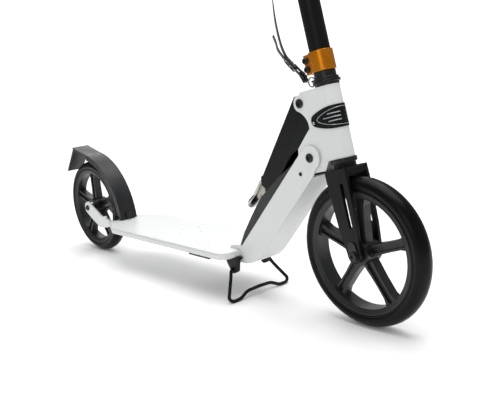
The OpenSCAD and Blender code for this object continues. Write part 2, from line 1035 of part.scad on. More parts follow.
// pear-shaped safety washers under the axle's two heads
module axle_washers() {
    color(BLACK)
        steering()
            difference() {
                sides(leg_out, leg_out + 2) {
                    translate([fork_offset, 0])
                        circle(r = 9);
                    translate([fork_offset, 14])
                        circle(r = 7);
                    polygon([
                        [fork_offset - 9, 0], [fork_offset - 7, 14],
                        [fork_offset + 7, 14], [fork_offset + 9, 0]
                    ]);
                }
                cross([fork_offset, 0], axle_r, -FAR, FAR);
            }
}

module headset_collar() {
    color(BLACK)
        steering() {
            axis_tube(shell_r + 1, steerer_r + 0.01, head_top + 8.4, collar_low);
            axis_tube(shell_r - 1.5, steerer_r + 0.01, collar_low, clamp_low - 0.2);
            // the lug that carries the lower strap ring
            difference() {
                translate([-shell_r - 9, -4, ring_low.y - 1.5])
                    cube([10, 8, 3]);
                translate([ring_low.x + ring_r, 0, ring_low.y - 3])
                    cylinder(r = 1.7, h = 6);
            }
        }
}

module column() {
    color(BLACK)
        steering()
            difference() {
                axis_tube(column_r, column_in, clamp_low, column_top);
                // the slits that let the two clamps squeeze the tube
                translate([-column_r - 1, -1.2, clamp_low - 1])
                    cube([column_r - 4, 2.4, clamp_h + 3]);
                translate([-column_r - 1, -1.2, height_clamp_low - 4])
                    cube([column_r - 4, 2.4, column_top]);
            }
}

// a split ring with two ears behind, drilled across for its bolts
module split_clamp(low, h, bolts, hole) {
    r = column_r + clamp_wall;
    difference() {
        union() {
            axis_tube(r, column_r, low, low + h);
            difference() {
                translate([-column_r - ear_out + 3, -8, low])
                    cube([ear_out, 16, h]);
                translate([0, 0, low - 1])
                    cylinder(r = column_r + 1, h = h + 2);
            }
        }
        translate([-column_r - ear_out, -1.2, low - 1])
            cube([ear_out + 4, 2.4, h + 2]);
        for (b = bolts)
            cross([-column_r - ear_out / 2 - 1, low + b], hole, -20, 20);
    }
}

clamp_bolt_s = -column_r - ear_out / 2 - 1;
clamp_bolt_at = [clamp_h / 2 - 6.7, clamp_h / 2 + 6.3];

module column_clamp() {
    color(ORANGE)
        steering()
            split_clamp(clamp_low, clamp_h, clamp_bolt_at, 2.5);
}

module clamp_bolts() {
    color(BLACK)
        steering()
            for (b = clamp_bolt_at) {
                cross([clamp_bolt_s, clamp_low + b], 2.5, -8, 8);
                button_head([clamp_bolt_s, clamp_low + b], 5.2, 4, -8, -1);
                button_head([clamp_bolt_s, clamp_low + b], 4.6, 3, 8, 1);
            }
}

module height_clamp() {
    color(ORANGE)
        steering()
            difference() {
                union() {
                    split_clamp(height_clamp_low, height_clamp_h, [height_clamp_h / 2], 3);
                    axis_tube(column_r + clamp_wall, column_in + 0.2, column_top + 0.1,
                              height_clamp_low + height_clamp_h + 2);
                }
                translate([-column_r - ear_out, -1.2, height_clamp_low - 1])
                    cube([ear_out + 6, 2.4, height_clamp_h + 6]);
            }
}

skewer_h = height_clamp_low + height_clamp_h / 2;
lever_hinge_y = 14.5;
lever_hinge_r = 2.5;

module height_clamp_skewer() {
    color(STEEL)
        steering() {
            cross([clamp_bolt_s, skewer_h], 3, -8, lever_hinge_y - 5);
            cross([clamp_bolt_s, skewer_h], 6, -13, -8);
            // the hinge pin of the cam lever, along the column
            translate([clamp_bolt_s, lever_hinge_y, skewer_h - 9])
                cylinder(r = lever_hinge_r, h = 18);
            translate([clamp_bolt_s - 3, 8, skewer_h - 3])
                cube([6, lever_hinge_y - 8, 6]);
        }
}

module height_clamp_lever() {
    s = clamp_bolt_s;
    color(BLACK)
        steering()
            translate([0, 0, skewer_h - 8])
                difference() {
                    union() {
                        translate([s, lever_hinge_y, 0])
                            cylinder(r = 6, h = 16);
                        linear_extrude(16)
                            polygon([
                                [s + 1, lever_hinge_y + 5], [s + 14, column_r + clamp_wall + 6],
                                [s + 52, column_r + clamp_wall + 5],
                                [s + 62, column_r + clamp_wall + 8],
                                [s + 62, column_r + clamp_wall + 4],
                                [s + 52, column_r + clamp_wall + 1], [s + 18, column_r + clamp_wall + 1],
                                [s + 5, lever_hinge_y - 1]
                            ]);
                    }
                    translate([s, lever_hinge_y, -1])
                        cylinder(r = lever_hinge_r + run, h = 18);
                    // the fork of the lever, round the skewer's eye
                    translate([s - 8, 0, 4.5])
                        cube([12, 25, 7]);
                }
}

// ---------- carry strap ----------

strap_w = 20;
strap_t = 1.6;
ring_r = 7;
ring_low = [-shell_r - 11.5, head_top + 11.8];
ring_high = [-column_r - 12.5, height_clamp_low - 14];
// the strap's line, behind and along the steering axis
strap_line = [
    [-47, 282], [-55, 290], [-64, 301], [-71, 313], [-76, 328], [-78, 346], [-78, 370], [-75, 395],
    [-70, 420], [-64, 445], [-57, 468], [-49, 488], [-41, 504], [-34, 514]
];

module strap_rings() {
    color(STEEL)
        steering() {
            for (at = [ring_low, ring_high])
                translate([at.x, 0, at.y])
                    rotate([90, 0, 0])
                        rotate_extrude()
                            translate([ring_r, 0])
                                circle(r = 1.2);
            // the saddle round the column, with the lug of the upper ring
            difference() {
                union() {
                    axis_tube(column_r + 1.5, column_r, ring_high.y - 5, ring_high.y + 5);
                    translate([ring_high.x + ring_r - 4, -4, ring_high.y - 1.5])
                        cube([10, 8, 3]);
                }
                translate([ring_high.x + ring_r, 0, ring_high.y - 3])
                    cylinder(r = 1.7, h = 6);
                translate([0, 0, ring_high.y - 6])
                    cylinder(r = column_r, h = 12);
            }
        }
}

// a flat band along points of the steering plane
module band(points, t, w) {
    steering_side(-w / 2, w / 2)
        for (k = [0:len(points) - 2]) {
            a = points[k];
            b = points[k + 1];
            n = [a.y - b.y, b.x - a.x] / norm(b - a) * t / 2;
            polygon([a - n, b - n, b + n, a + n]);
            translate(b)
                circle(r = t / 2);
        }
}

module strap_hooks() {
    color(BLACK) {
        band([ring_low + [-11.5, 3], strap_line[0]], 5, 9);
        band([ring_high + [-11.5, -4], strap_line[len(strap_line) - 1]], 5, 9);
    }
}

module strap_slider() {
    color(BLACK)
        band([strap_line[1] + [2.4, 2.1], strap_line[2] + [2.4, 1.9]], 2.2, 26);
}

module carry_strap() {
    color(BLACK)
        band([for (k = [1:len(strap_line) - 2]) strap_line[k]], strap_t, strap_w);
}

// ---------- handlebar ----------

stem_r = column_in - run;
stem_low = clamp_low + clamp_h + 90;

module stem_tube() {
    color(STEEL)
        steering()
            axis_tube(stem_r, stem_r - 2, stem_low, bar_height - bar_r - 1);
}

tee_half = 26;

module tee() {
    color(BLACK)
        steering()
            difference() {
                union() {
                    translate([0, 0, bar_height - bar_r - 34])
                        cylinder(r = stem_r + 3, h = 34);
                    cross([0, bar_height], bar_r + 3.5, -tee_half, tee_half);
                }
                cross([0, bar_height], bar_r, -FAR, FAR);
                translate([0, 0, bar_height - bar_r - 35])
                    cylinder(r = stem_r, h = 34);
            }
}

module handlebar() {
    color(BLACK)
        steering()
            cross_tube([0, bar_height], bar_r, bar_r - bar_wall, -bar_width / 2 + 3, bar_width / 2 - 3);
}

module grip(side) {
    y0 = bar_width / 2 - grip_len;
    color(RUBBER)
        steering()
            mirror([0, side < 0 ? 1 : 0, 0])
                difference() {
                    union() {
                        cross([0, bar_height], grip_r, y0, y0 + grip_len);
                        cross([0, bar_height], grip_r + 4, y0, y0 + 4);
                    }
                    cross([0, bar_height], bar_r, y0 - 1, y0 + grip_len - 3);
                    cross([0, bar_height], bar_r - bar_wall, y0, y0 + grip_len + 1);
                }
}

module grip_left() {
    grip(1);
}

module grip_right() {
    grip(-1);
}

// ---------- wheels ----------

// children are drawn about the Y axis through the wheel's centre
module at_wheel(x, r) {
    translate([x, 0, r])
        rotate([-90, 0, 0])
            children();
}

module tyre(r, half, depth, bed) {
    rotate_extrude($fn = 96)
        difference() {
            intersection() {
                translate([r - half - 1.5, 0])
                    circle(r = half + 1.5);
                translate([r - depth, -half])
                    square([depth + 1, 2 * half]);
            }
            // the bead that grips the rim
            translate([r - depth - 1, -bed])
                square([4, 2 * bed]);
        }
}

module wheel_rim(r_tyre, depth, tyre_depth, half, bed, hub_half, phase) {
    r_out = r_tyre - tyre_depth;
    r_in = r_out - depth;
    difference() {
        union() {
            rotate_extrude($fn = 96)
                polygon([
                    [r_in, -half + 3.5], [r_out - 2, -half + 0.5], [r_out, -half + 0.5], [r_out, -bed + 0.1],
                    [r_out + 2.9, -bed + 0.1], [r_out + 2.9, bed - 0.1], [r_out, bed - 0.1],
                    [r_out, half - 0.5], [r_out - 2, half - 0.5], [r_in, half - 3.5]
                ]);
            translate([0, 0, -hub_half])
                cylinder(r = hub_r, h = 2 * hub_half);
            for (k = [0:4])
                rotate([0, 0, phase + 72 * k])
                    wheel_spoke(r_in);
        }
        for (side = [-1, 1])
            mirror([0, 0, side < 0 ? 1 : 0])
                translate([0, 0, hub_half - bearing_w])
                    cylinder(r = bearing_r, h = bearing_w + 1);
        translate([0, 0, -hub_half - 1])
            cylinder(r = bearing_r - 2, h = 2 * hub_half + 2);
    }
}

// a spoke with a sunk web on both faces
module wheel_spoke(r_in) {
    root = hub_r - 3;
    len = r_in - root + 2;
    difference() {
        translate([root, 0, -spoke_half])
            linear_extrude(2 * spoke_half)
                polygon([
                    [0, -spoke_w * 0.62], [len * 0.45, -spoke_w / 2], [len * 0.8, -spoke_w / 2],
                    [len, -spoke_w * 0.78], [len, spoke_w * 0.78], [len * 0.8, spoke_w / 2],
                    [len * 0.45, spoke_w / 2], [0, spoke_w * 0.62]
                ]);
        for (side = [-1, 1])
            mirror([0, 0, side < 0 ? 1 : 0])
                translate([root + 7, 0, spoke_half - 4])
                    linear_extrude(5) {
                        translate([0, -spoke_w / 2 + 3.2])
                            square([len - 14, spoke_w - 6.4]);
                        for (x = [0, len - 14])
                            translate([x, 0])
                                circle(r = spoke_w / 2 - 3.2);
                    }
    }
}

module bearings(hub_half) {
    for (side = [-1, 1])
        mirror([0, 0, side < 0 ? 1 : 0])
            translate([0, 0, hub_half - bearing_w])
                difference() {
                    cylinder(r = bearing_r, h = bearing_w);
                    translate([0, 0, -1])
                        cylinder(r = axle_r, h = bearing_w + 2);
                    translate([0, 0, bearing_w - 0.5])
                        difference() {
                            cylinder(r = bearing_r - 1.8, h = 1);
                            cylinder(r = axle_r + 2, h = 1);
                        }
                }
}

hub_half_front = 17;
hub_half_rear = 16;
bed_front = front_half - 5;
bed_rear = rear_half - 4.5;
front_phase = 90 + rake;

module front_tyre() {
    color(RUBBER)
        at_wheel(front_x, front_r)
            tyre(front_r, front_half, front_tyre_depth, bed_front);
}

module front_rim() {
    color(BLACK)
        at_wheel(front_x, front_r)
            wheel_rim(front_r, front_rim_depth, front_tyre_depth, front_half, bed_front,
                      hub_half_front, 270);
}

module front_bearings() {
    color(STEEL)
        at_wheel(front_x, front_r)
            bearings(hub_half_front);
}

module rear_tyre() {
    color(RUBBER)
        at_wheel(rear_x, rear_r)
            tyre(rear_r, rear_half, rear_tyre_depth, bed_rear);
}

module rear_rim() {
    color(BLACK)
        at_wheel(rear_x, rear_r)
            wheel_rim(rear_r, rear_rim_depth, rear_tyre_depth, rear_half, bed_rear,
                      hub_half_rear, 270);
}

module rear_bearings() {
    color(STEEL)
        at_wheel(rear_x, rear_r)
            bearings(hub_half_rear);
}

// ---------- rear brake ----------

// part of a ring about the fender's centre, between two angles
module fender_arc(r_in, r_out, a0, a1) {
    intersection() {
        translate(fender_c)
            difference() {
                circle(r = r_out, $fn = 128);
                circle(r = r_in, $fn = 128);
            }
        polygon([
            fender_c, fender_c + FAR * [cos(a0), sin(a0)],
            fender_c + 1.5 * FAR * [cos((a0 + a1) / 2), sin((a0 + a1) / 2)],
            fender_c + FAR * [cos(a1), sin(a1)]
        ]);
    }
}

module fender() {
    inner = fender_r - fender_t;
    skirt = 9;
    back = [-cos(tail_slope), sin(tail_slope)];
    down = [-sin(tail_slope), -cos(tail_slope)];
    color(BLACK)
        difference() {
            union() {
                side(-fender_half, fender_half)
                    fender_arc(inner, fender_r, fender_start, fender_end);
                sides(fender_half - 2, fender_half)
                    fender_arc(inner - skirt, fender_r, fender_start + 1, fender_end - 4);
                side(-fender_half, fender_half)
                    polygon([
                        tail_at + [1, 0], tail_end, tail_end + fender_t * down,
                        tail_at + [1, -fender_t]
                    ]);
                // the knuckle round the hinge pin
                cross(fender_hinge, 5.5, -6, 6);
                side(-6, 6)
                    polygon([
                        fender_hinge + [0, -4.5], fender_hinge + [14, -4.5],
                        fender_hinge + [13, 8], fender_hinge + [0, 5.5]
                    ]);
            }
            cross(fender_hinge, 2.5 + run, -FAR, FAR);
            side(-fender_half - 1, fender_half + 1)
                difference() {
                    translate(fender_c)
                        circle(r = FAR, $fn = 96);
                    translate(fender_c)
                        circle(r = fender_r + 60, $fn = 96);
                }
        }
}

// a plate under the tail that hangs back over the tyre
module mud_flap() {
    t = 2.5;
    seat = tail_end + [0, -fender_t - 0.1];
    d = [-cos(flap_slope), -sin(flap_slope)];
    n = [sin(flap_slope), -cos(flap_slope)];
    color(BLACK)
        side(-fender_half + 1, fender_half - 1)
            polygon([
                seat + [0.5, 0], seat + flap_len * d, seat + flap_len * d + t * n,
                seat + [6, -t - 3], seat + [26, -9], seat + [26, -6.6]
            ]);
}

deck();
dropout_left();
dropout_right();
neck();
neck_liner();
fold_pin();
fold_pin_caps();
liner_screws();
keeper_pin();
rear_axle();
rear_axle_spacers();
fender_hinge_lugs();
fender_pin();
fender_spring();
stand_plate();
stand_lugs();
stand_bolts();
head_bracket();
head_tube();
upper_cup();
lower_cup();
head_bearings();
badge();
badge_rivets();
brace_pin();
brace_pin_caps();
brace();
lever_pin();
lever_spring();
release_lever();
foot_pedal();
fork();
steerer();
front_axle();
axle_washers();
headset_collar();
column();
column_clamp();
clamp_bolts();
height_clamp();
height_clamp_skewer();
height_clamp_lever();
strap_rings();
strap_hooks();
strap_slider();
carry_strap();
stem_tube();
tee();
handlebar();
grip_left();
grip_right();
front_tyre();
front_rim();
front_bearings();
rear_tyre();
rear_rim();
rear_bearings();
fender();
mud_flap();
kickstand();
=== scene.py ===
"""A folding kick scooter with two large wheels, dressed over its CAD frame.

X is forward, Y is to the rider's left and Z is up, in metres, with the floor at zero.
"""
import json
import math

import bmesh
import bpy
from mathutils import Matrix, Vector


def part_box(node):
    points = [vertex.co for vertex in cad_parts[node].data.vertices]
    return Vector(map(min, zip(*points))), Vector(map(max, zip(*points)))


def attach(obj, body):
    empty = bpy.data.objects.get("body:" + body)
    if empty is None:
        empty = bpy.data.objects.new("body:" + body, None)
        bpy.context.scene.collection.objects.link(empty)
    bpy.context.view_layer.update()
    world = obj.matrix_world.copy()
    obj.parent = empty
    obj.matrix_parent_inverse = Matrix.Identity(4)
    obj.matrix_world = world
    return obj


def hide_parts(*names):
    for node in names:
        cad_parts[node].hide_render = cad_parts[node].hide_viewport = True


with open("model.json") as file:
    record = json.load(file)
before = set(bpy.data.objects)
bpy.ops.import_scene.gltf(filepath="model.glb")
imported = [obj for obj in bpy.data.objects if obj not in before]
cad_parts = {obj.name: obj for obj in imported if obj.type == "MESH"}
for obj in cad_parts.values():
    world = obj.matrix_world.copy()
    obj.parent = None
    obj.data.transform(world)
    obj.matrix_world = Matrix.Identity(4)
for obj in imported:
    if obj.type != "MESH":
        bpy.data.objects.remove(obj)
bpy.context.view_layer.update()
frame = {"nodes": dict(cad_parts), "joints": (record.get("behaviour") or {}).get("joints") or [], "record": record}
parts = frame["nodes"]
joints = {j["name"]: j for j in frame["joints"]}
MM = 0.001


def centre(node):
    """The middle of a part's box."""
    low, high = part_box(node)
    return (low + high) / 2


# ---------- camera, floor and light ----------

# the camera's place in metres and its turns in radians
CAMERA_AT = (1.07745, -0.8043, 0.4301)
CAMERA_TURNS = (2.4358, -0.2079, -0.0898)
CAMERA_LENS_MM = 52.755


def make_camera():
    """The studio camera, low and ahead on the rider's right."""
    yaw, pitch, roll = CAMERA_TURNS
    ahead = Vector((math.cos(pitch) * math.cos(yaw), math.cos(pitch) * math.sin(yaw), math.sin(pitch)))
    right = ahead.cross(Vector((0, 0, 1))).normalized()
    over = right.cross(ahead)
    side = right * math.cos(roll) + over * math.sin(roll)
    top = over * math.cos(roll) - right * math.sin(roll)
    data = bpy.data.cameras.new("studio_camera")
    data.sensor_width = 36
    data.lens = CAMERA_LENS_MM
    data.clip_start = 0.05
    data.clip_end = 60
    camera = bpy.data.objects.new("studio_camera", data)
    bpy.context.scene.collection.objects.link(camera)
    turn = Matrix((side, top, -ahead)).transposed()
    camera.matrix_world = Matrix.Translation(CAMERA_AT) @ turn.to_4x4()
    bpy.context.scene.camera = camera


def soft_light(name, at, aim, width, height, power):
    """A rectangular softbox at one point, turned to face another."""
    data = bpy.data.lights.new(name, "AREA")
    data.shape = "RECTANGLE"
    data.size = width
    data.size_y = height
    data.energy = power
    light = bpy.data.objects.new(name, data)
    bpy.context.scene.collection.objects.link(light)
    light.location = at
    light.rotation_euler = (Vector(aim) - Vector(at)).to_track_quat("-Z", "Y").to_euler()


def make_studio():
    """A white room: bright all round for the eye, darker in what the gloss mirrors."""
    world = bpy.data.worlds.new("studio_world")
    bpy.context.scene.world = world
    bpy.context.scene.view_settings.view_transform = "Standard"
    world.use_nodes = True
    tree = world.node_tree
    room = tree.nodes["Background"]
    room.inputs["Color"].default_value = (1, 1, 1, 1)
    room.inputs["Strength"].default_value = 0.62
    seen = add(tree, "ShaderNodeBackground", links={"Color": (1, 1, 1, 1), "Strength": 1.25})
    mirrored = add(tree, "ShaderNodeBackground", links={"Color": (1, 1, 1, 1), "Strength": 0.26})
    ray = add(tree, "ShaderNodeLightPath").outputs
    glossy = add(tree, "ShaderNodeMixShader", links={"Fac": ray["Is Glossy Ray"]})
    tree.links.new(room.outputs["Background"], glossy.inputs[1])
    tree.links.new(mirrored.outputs["Background"], glossy.inputs[2])
    whole = add(tree, "ShaderNodeMixShader", links={"Fac": ray["Is Camera Ray"]})
    tree.links.new(glossy.outputs["Shader"], whole.inputs[1])
    tree.links.new(seen.outputs["Background"], whole.inputs[2])
    tree.links.new(whole.outputs["Shader"], tree.nodes["World Output"].inputs["Surface"])
    soft_light("top_softbox", (0.1, 0.2, 2.6), (0, 0, 0.2), 2.6, 2.2, 60)
    soft_light("front_softbox", (1.6, -2.6, 1.5), (0.1, 0, 0.25), 1.4, 1.6, 8)
    soft_light("rear_softbox", (-2.0, 1.6, 1.6), (0, 0, 0.3), 1.6, 1.6, 16)


# ---------- materials ----------

def linear(text):
    """An sRGB hex colour as linear RGBA."""
    values = [int(text[k:k + 2], 16) / 255 for k in (1, 3, 5)]
    return tuple(v / 12.92 if v <= 0.04045 else ((v + 0.055) / 1.055) ** 2.4 for v in values) + (1.0,)


def add(tree, kind, settings=None, links=None):
    """One node with its settings and its inputs, each a value or another node's output."""
    made = tree.nodes.new(kind)
    for name, value in (settings or {}).items():
        setattr(made, name, value)
    for name, value in (links or {}).items():
        socket = made.inputs[name]
        if isinstance(value, bpy.types.NodeSocket):
            tree.links.new(value, socket)
        else:
            socket.default_value = value
    return made


def ramp(tree, factor, stops):
    """A colour for each place along a factor, blended between the stops."""
    made = add(tree, "ShaderNodeValToRGB", links={"Fac": factor})
    bar = made.color_ramp.elements
    while len(bar) < len(stops):
        bar.new(0.5)
    for element, (place, shade) in zip(bar, stops):
        element.position = place
        element.color = shade
    return made.outputs["Color"]


def grey(v):
    """A neutral linear colour."""
    return (v, v, v, 1.0)


def begin(name, **fixed):
    """A material's tree, its shader and the piece's own coordinates in metres."""
    made = bpy.data.materials.new(name)
    made.use_nodes = True
    tree = made.node_tree
    shader = tree.nodes["Principled BSDF"]
    for socket, value in fixed.items():
        shader.inputs[socket.replace("_", " ")].default_value = value
    place = add(tree, "ShaderNodeTexCoord").outputs["Object"]
    return made, tree, shader, place


def finish_surface(tree, shader, colour=None, roughness=None, height=None, depth=0.0001, strength=1.0,
                   edge_mm=0.0):
    """Joins colour, roughness and relief to the shader, with a broken edge where one is asked for."""
    if colour is not None:
        tree.links.new(colour, shader.inputs["Base Color"])
    if roughness is not None:
        tree.links.new(roughness, shader.inputs["Roughness"])
    if height is not None:
        bump = add(tree, "ShaderNodeBump", links={"Height": height, "Distance": depth, "Strength": strength})
        if edge_mm:
            # the shade of an edge broken by the press, the film of paint or the mould
            worn = add(tree, "ShaderNodeBevel", {"samples": 8}, {"Radius": edge_mm * MM})
            tree.links.new(worn.outputs["Normal"], bump.inputs["Normal"])
        tree.links.new(bump.outputs["Normal"], shader.inputs["Normal"])


def noise(tree, place, size_mm, detail=3.0, rough=0.5):
    """Noise whose blobs are about size_mm across."""
    made = add(tree, "ShaderNodeTexNoise", links={
        "Vector": place, "Scale": 1 / (size_mm * MM), "Detail": detail, "Roughness": rough,
    })
    return made.outputs["Fac"]


def stretched_noise(tree, place, scale, detail):
    """Noise drawn out into fine lines by a scale that differs along the three axes."""
    drawn = add(tree, "ShaderNodeMapping", links={"Vector": place, "Scale": scale}).outputs["Vector"]
    made = add(tree, "ShaderNodeTexNoise", links={"Vector": drawn, "Scale": 1.0, "Detail": detail})
    return made.outputs["Fac"]


def powder_coat(name, light, dark, gloss, peel_mm, peel_depth, shine=0.5):
    """Baked powder paint: the film pulls into a faint orange peel and scuffs dull in patches."""
    made, tree, shader, place = begin(name, IOR=1.5, Specular_IOR_Level=shine)
    shade = ramp(tree, noise(tree, place, 140), [(0.35, linear(dark)), (0.65, linear(light))])
    scuff = ramp(tree, noise(tree, place, 22, 6.0, 0.62), [(0.3, grey(gloss)), (0.72, grey(gloss + 0.13))])
    peel = noise(tree, place, peel_mm, 2.0)
    finish_surface(tree, shader, shade, scuff, peel, peel_depth, strength=0.6, edge_mm=0.9)
    return made


def anodised_orange():
    """Turned, dyed and anodised aluminium: fine lathe rings under a clear tinted skin."""
    made, tree, shader, place = begin("orange_anodised_aluminium", Metallic=0.75, Anisotropic=0.3)
    shade = ramp(tree, noise(tree, place, 30), [(0.3, linear("#d27c0c")), (0.7, linear("#df8b16"))])
    rings = stretched_noise(tree, place, (60, 60, 1400), 3.0)
    dull = ramp(tree, rings, [(0.2, grey(0.2)), (0.8, grey(0.34))])
    finish_surface(tree, shader, shade, dull, rings, 0.00001, 0.12)
    return made


def zinc_steel():
    """Bright zinc on turned steel, clouded in small patches by handling."""
    made, tree, shader, place = begin("zinc_plated_steel", Metallic=1.0)
    shade = ramp(tree, noise(tree, place, 9, 5.0), [(0.3, linear("#a9abae")), (0.7, linear("#c9cbcd"))])
    dull = ramp(tree, noise(tree, place, 4, 5.0), [(0.3, grey(0.2)), (0.75, grey(0.42))])
    finish_surface(tree, shader, shade, dull, noise(tree, place, 1.2, 2.0), 0.00003, 0.4)
    return made


def black_oxide():
    """Black oxide on forged steel: a soft oily sheen, greyer where it was touched."""
    made, tree, shader, place = begin("black_oxide_steel", Metallic=0.35, IOR=1.6)
    shade = ramp(tree, noise(tree, place, 7, 5.0), [(0.35, linear("#0e0f10")), (0.75, linear("#232427"))])
    dull = ramp(tree, noise(tree, place, 5, 4.0), [(0.3, grey(0.26)), (0.7, grey(0.44))])
    finish_surface(tree, shader, shade, dull, noise(tree, place, 1.0, 2.0), 0.00003, 0.5)
    return made


def brushed_aluminium():
    """Bare aluminium tube, drawn and brushed lengthwise, so its highlight runs in fine streaks."""
    made, tree, shader, place = begin("brushed_aluminium", Metallic=1.0, Anisotropic=0.5)
    streaks = stretched_noise(tree, place, (900, 900, 12), 4.0)
    shade = ramp(tree, streaks, [(0.2, linear("#b4b6b8")), (0.8, linear("#cfd0d1"))])
    dull = ramp(tree, streaks, [(0.2, grey(0.24)), (0.8, grey(0.4))])
    finish_surface(tree, shader, shade, dull, streaks, 0.00002, 0.5)
    return made


def polished_aluminium():
    """Cast aluminium, tumbled and polished: bright, with faint swirls and a few dull nicks."""
    made, tree, shader, place = begin("polished_cast_aluminium", Metallic=1.0)
    shade = ramp(tree, noise(tree, place, 12, 4.0), [(0.3, linear("#b8b9ba")), (0.7, linear("#d8d8d7"))])
    dull = ramp(tree, noise(tree, place, 3, 6.0, 0.7), [(0.35, grey(0.13)), (0.8, grey(0.36))])
    finish_surface(tree, shader, shade, dull, noise(tree, place, 2.5, 3.0), 0.00005, 0.5)
    return made


def moulded_plastic(name, light, dark, gloss, grain_mm, grain_depth):
    """Injection-moulded plastic: a fine even spark-eroded grain with a little sheen."""
    made, tree, shader, place = begin(name, IOR=1.49, Specular_IOR_Level=0.5)
    shade = ramp(tree, noise(tree, place, 60), [(0.3, linear(dark)), (0.7, linear(light))])
    dull = ramp(tree, noise(tree, place, 16, 5.0), [(0.3, grey(gloss)), (0.7, grey(gloss + 0.14))])
    grain = noise(tree, place, grain_mm, 2.0)
    finish_surface(tree, shader, shade, dull, grain, grain_depth, strength=0.7, edge_mm=0.7)
    return made


def polyurethane():
    """Cast polyurethane: nearly black, glossy from the mould, with dust rolled dull into the tread."""
    made, tree, shader, place = begin("cast_polyurethane_tyre", IOR=1.5, Specular_IOR_Level=0.14)
    shade = ramp(tree, noise(tree, place, 35, 5.0), [(0.3, linear("#060607")), (0.75, linear("#0d0d0e"))])
    dull = ramp(tree, noise(tree, place, 14, 6.0, 0.6), [(0.3, grey(0.24)), (0.7, grey(0.36))])
    finish_surface(tree, shader, shade, dull, noise(tree, place, 3.0, 2.0), 0.00002, 0.4)
    return made


def grip_rubber():
    """Moulded thermoplastic rubber: matt and dark, with a fine stipple."""
    made, tree, shader, place = begin("moulded_grip_rubber", IOR=1.5)
    shade = ramp(tree, noise(tree, place, 25, 4.0), [(0.3, linear("#111112")), (0.7, linear("#1d1d1f"))])
    dull = ramp(tree, noise(tree, place, 8, 4.0), [(0.3, grey(0.6)), (0.7, grey(0.78))])
    finish_surface(tree, shader, shade, dull, noise(tree, place, 0.9, 2.0), 0.00012, 0.9)
    return made


def ribs(tree, place, direction, half_pitch_mm, distortion):
    """Soft parallel ribs, each about twice half_pitch_mm from the next."""
    made = add(tree, "ShaderNodeTexWave", {"bands_direction": direction}, {
        "Vector": place, "Scale": 1 / (half_pitch_mm * MM) / 6.28, "Distortion": distortion, "Detail": 2.0})
    return made.outputs["Fac"]


def webbing():
    """Woven nylon webbing: soft crossing ribs 3 to 4 mm apart and a fuzz that catches the light."""
    made, tree, shader, place = begin("woven_nylon_webbing", IOR=1.53)
    shader.inputs["Sheen Weight"].default_value = 0.25
    across = ribs(tree, place, "Y", 2.0, 0.6)
    along = ribs(tree, place, "Z", 1.6, 0.8)
    both = add(tree, "ShaderNodeMath", {"operation": "MULTIPLY"})
    tree.links.new(across, both.inputs[0])
    tree.links.new(along, both.inputs[1])
    weave = both.outputs["Value"]
    # painted shade: the colour is darker in the weave's hollows, following the same ribs that the bump raises
    shade = ramp(tree, weave, [(0.1, linear("#0a0a0b")), (0.8, linear("#232326"))])
    dull = ramp(tree, weave, [(0.0, grey(0.9)), (1.0, grey(0.66))])
    finish_surface(tree, shader, shade, dull, weave, 0.0003, 0.9)
    return made


def studio_floor():
    """Matt painted board, almost white."""
    made, tree, shader, place = begin("matt_floor_board", Roughness=0.9)
    shade = ramp(tree, noise(tree, place, 900), [(0.3, linear("#fafafa")), (0.7, linear("#fdfdfd"))])
    finish_surface(tree, shader, shade)
    return made


# white paint with a satin sheen and a faint orange peel
WHITE = powder_coat("white_powder_coated_aluminium", "#d8dad9", "#d3d5d4", 0.26, 3.0, 0.00004)
# black paint with a duller sheen and a finer peel
BLACK = powder_coat("black_powder_coated_steel", "#0f1011", "#0b0c0d", 0.34, 2.2, 0.00005, 0.2)
ORANGE = anodised_orange()
ZINC = zinc_steel()
OXIDE = black_oxide()
BRUSHED = brushed_aluminium()
POLISHED = polished_aluminium()
# creamy nylon, smooth and a little glossy
IVORY = moulded_plastic("ivory_moulded_nylon", "#cbcabf", "#bdbcb0", 0.24, 1.2, 0.00004)
# charcoal nylon with a soft even grain
NYLON = moulded_plastic("black_moulded_nylon", "#1c1d20", "#151618", 0.34, 1.6, 0.00008)
TYRE = polyurethane()
RUBBER = grip_rubber()
WEBBING = webbing()

FINISHES = {
    "white_paint": WHITE, "black_paint": BLACK, "orange_anodised": ORANGE, "zinc_steel": ZINC,
    "black_oxide_steel": OXIDE, "polished_aluminium": POLISHED, "bare_aluminium": BRUSHED,
    "ivory_plastic": IVORY, "black_plastic": NYLON, "polyurethane_tyre": TYRE,
    "rubber_grip": RUBBER, "webbing": WEBBING,
}


# ---------- the hard parts, kept from the CAD ----------

# corners sharper than these many degrees are rounded, or stay crisp
ROUNDED_OVER = 32
CRISP_OVER = 30


def soften(node, width_mm):
    """Rounds a hard part's edges as a press, mould or file leaves them."""
    part = parts[node]
    weld = part.modifiers.new("joined_faces", "WELD")
    weld.merge_threshold = 0.00002
    bevel = part.modifiers.new("broken_edges", "BEVEL")
    bevel.width = width_mm * MM
    bevel.segments = 2
    bevel.limit_method = "ANGLE"
    bevel.angle_limit = math.radians(ROUNDED_OVER)
    bevel.miter_outer = "MITER_ARC"
    bevel.harden_normals = False
    flat = part.modifiers.new("even_faces", "WEIGHTED_NORMAL")
    flat.weight = 80
    flat.keep_sharp = True
    for face in part.data.polygons:
        face.use_smooth = True


def smooth_by_angle(part):
    """Round faces shade smooth, and sharp corners stay crisp."""
    form = bmesh.new()
    form.from_mesh(part.data)
    limit = math.radians(CRISP_OVER)
    for face in form.faces:
        face.smooth = True
    for edge in form.edges:
        edge.smooth = len(edge.link_faces) == 2 and edge.calc_face_angle(0) < limit
    form.to_mesh(part.data)
    form.free()


